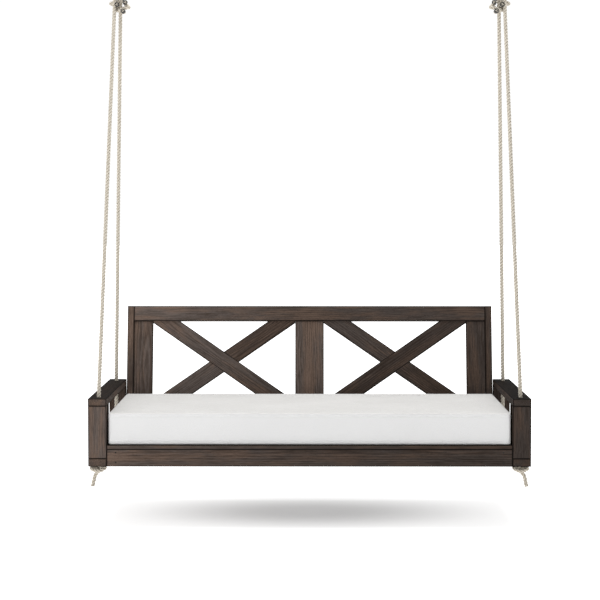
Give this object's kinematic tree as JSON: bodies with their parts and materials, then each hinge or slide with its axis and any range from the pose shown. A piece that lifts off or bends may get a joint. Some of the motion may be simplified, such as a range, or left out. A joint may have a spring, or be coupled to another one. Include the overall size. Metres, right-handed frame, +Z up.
{
  "type": "porch swing",
  "caption": "Hanging daybed porch swing: timber frame with a leaning cross-braced back, boxed arms, mattress cushion and ropes to a ring on each side.",
  "frame": {"origin": "midpoint of the two screw eyes, level with the underside of the ceiling beam that they screw into", "axes": "+X along the seat to the right as seen from the front, -Y towards the front of the seat, +Z up"},
  "size_m": [2.103, 1.2342, 2.6277],
  "materials": {
    "weathered_wood": "satin",
    "dowel_wood": "matte",
    "canvas": "matte",
    "foam": "matte",
    "zip": "satin",
    "rope": "matte",
    "galvanised_steel": "satin",
    "coated_steel": "satin"
  },
  "bodies": {
    "ceiling_eyes": {"eye_screw_left": "galvanised_steel", "eye_screw_right": "galvanised_steel"},
    "left_ring": {"hanging_ring_left": "galvanised_steel"},
    "right_ring": {"hanging_ring_right": "galvanised_steel"},
    "left_ropes": {"rope_front_left": "rope", "rope_rear_left": "rope", "rope_hitch_left": "rope"},
    "right_ropes": {"rope_front_right": "rope", "rope_rear_right": "rope", "rope_hitch_right": "rope"},
    "cushion": {"cushion_cover": "canvas", "cushion_foam": "foam", "cushion_zip": "zip"},
    "seat": {"arm_cap_left": "weathered_wood", "arm_cap_right": "weathered_wood", "back_bolt_nuts": "coated_steel", "back_bolts": "coated_steel", "back_bottom_rail": "weathered_wood", "back_centre_post": "weathered_wood", "back_end_stile_left": "weathered_wood", "back_end_stile_right": "weathered_wood", "back_screws": "coated_steel", "back_side_board_left": "weathered_wood", "back_side_board_right": "weathered_wood", "back_top_rail": "weathered_wood", "base_board_left": "weathered_wood", "base_board_right": "weathered_wood", "channel_post_left": "weathered_wood", "channel_post_right": "weathered_wood", "deck_board_1": "weathered_wood", "deck_board_2": "weathered_wood", "deck_board_3": "weathered_wood", "deck_board_4": "weathered_wood", "deck_board_5": "weathered_wood", "deck_board_6": "weathered_wood", "deck_screws": "coated_steel", "dowels": "dowel_wood", "end_beam_left": "weathered_wood", "end_beam_right": "weathered_wood", "frame_screws": "coated_steel", "front_post_left": "weathered_wood", "front_post_right": "weathered_wood", "front_rail": "weathered_wood", "joist_1": "weathered_wood", "joist_2": "weathered_wood", "joist_3": "weathered_wood", "long_brace_left": "weathered_wood", "long_brace_right": "weathered_wood", "lower_short_brace_left": "weathered_wood", "lower_short_brace_right": "weathered_wood", "rear_post_left": "weathered_wood", "rear_post_right": "weathered_wood", "rear_rail": "weathered_wood", "rope_end_front_left": "rope", "rope_end_front_right": "rope", "rope_end_rear_left": "rope", "rope_end_rear_right": "rope", "side_lags": "coated_steel", "upper_short_brace_left": "weathered_wood", "upper_short_brace_right": "weathered_wood"}
  },
  "joints": [
    {"name": "swing", "type": "hinge", "parent": "ceiling_eyes", "child": "left_ring", "pos_m": [-0.9515, 0, -0.064], "axis": [1, 0, 0], "range_deg": [-22, 22]},
    {"name": "right_ring_swing", "type": "hinge", "parent": "ceiling_eyes", "child": "right_ring", "pos_m": [0.9515, 0, -0.064], "axis": [1, 0, 0], "range_deg": [-22, 22]},
    {"name": "sway", "type": "hinge", "parent": "left_ring", "child": "left_ropes", "pos_m": [-0.9515, 0, -0.1127], "axis": [0, 1, 0], "range_deg": [-4, 4]},
    {"name": "right_sway", "type": "hinge", "parent": "right_ring", "child": "right_ropes", "pos_m": [0.9515, 0, -0.1127], "axis": [0, 1, 0], "range_deg": [-4, 4]},
    {"name": "seat_level", "type": "hinge", "parent": "left_ropes", "child": "seat", "pos_m": [-1.0035, 0, -2.11], "axis": [0, 1, 0], "range_deg": [-4, 4]},
    {"name": "cushion_lift", "type": "slide", "parent": "seat", "child": "cushion", "axis": [0, 0, 1], "range_m": [0, 0.25]}
  ],
  "couplings": [
    {"joint": "right_ring_swing", "follows": "swing", "ratio": 1},
    {"joint": "right_sway", "follows": "sway", "ratio": 1},
    {"joint": "seat_level", "follows": "sway", "ratio": -1}
  ]
}
